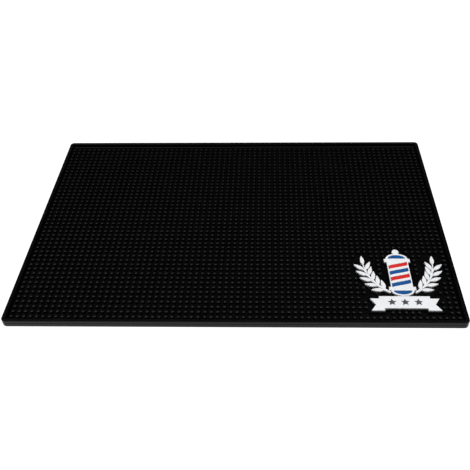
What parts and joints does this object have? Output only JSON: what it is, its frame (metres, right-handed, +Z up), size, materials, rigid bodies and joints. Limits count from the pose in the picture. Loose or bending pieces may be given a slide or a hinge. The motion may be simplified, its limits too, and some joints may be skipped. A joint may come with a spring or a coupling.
{
  "type": "barber station mat",
  "caption": "Flexible black service mat with a raised rim, a field of short round nubs and a coloured soft badge in one corner, for laying out barber's tools.",
  "frame": {"origin": "centre of the underside, where the mat lies on the counter", "axes": "+X along the long side, with the badge at the +X end; +Y to the back edge, away from the badge; +Z up"},
  "size_m": [0.45, 0.3, 0.008],
  "materials": {
    "black": "satin",
    "white": "satin",
    "blue": "satin",
    "red": "satin",
    "grey": "satin"
  },
  "bodies": {
    "root": {"mat_body": "black", "badge_pole": "white", "badge_ribbon": "white", "badge_branch_right": "white", "badge_branch_left": "white", "pole_stripe_blue_1": "blue", "pole_stripe_blue_2": "blue", "crown_inlay": "blue", "foot_inlay": "blue", "pole_stripe_red_1": "red", "pole_stripe_red_2": "red", "ribbon_star_1": "grey", "ribbon_star_2": "grey", "ribbon_star_3": "grey"}
  },
  "joints": []
}
